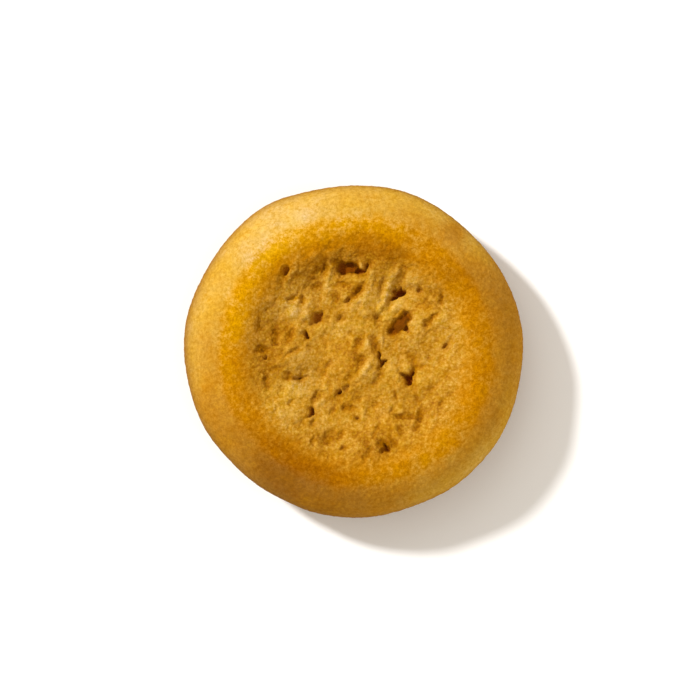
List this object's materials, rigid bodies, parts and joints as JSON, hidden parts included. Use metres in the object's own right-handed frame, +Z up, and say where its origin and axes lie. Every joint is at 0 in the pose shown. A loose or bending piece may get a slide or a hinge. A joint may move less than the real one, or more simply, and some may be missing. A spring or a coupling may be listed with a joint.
{
  "type": "peanut butter cookie",
  "caption": "Thick round soft-baked cookie with a smooth puffed rim round a shallow dish of rough crumb with open pits, flat underneath.",
  "frame": {"origin": "middle of the flat underside, on the surface it rests on", "axes": "+Z up through the middle of the cookie; +X and +Y lie in the underside, +X to the right and +Y to the top of the picture"},
  "size_m": [0.0506, 0.0496, 0.0127],
  "materials": {
    "baked_dough": "matte golden-brown baked dough, sandy on the rim and crumbly in the middle"
  },
  "bodies": {
    "root": {"cookie": "baked_dough"}
  },
  "joints": []
}
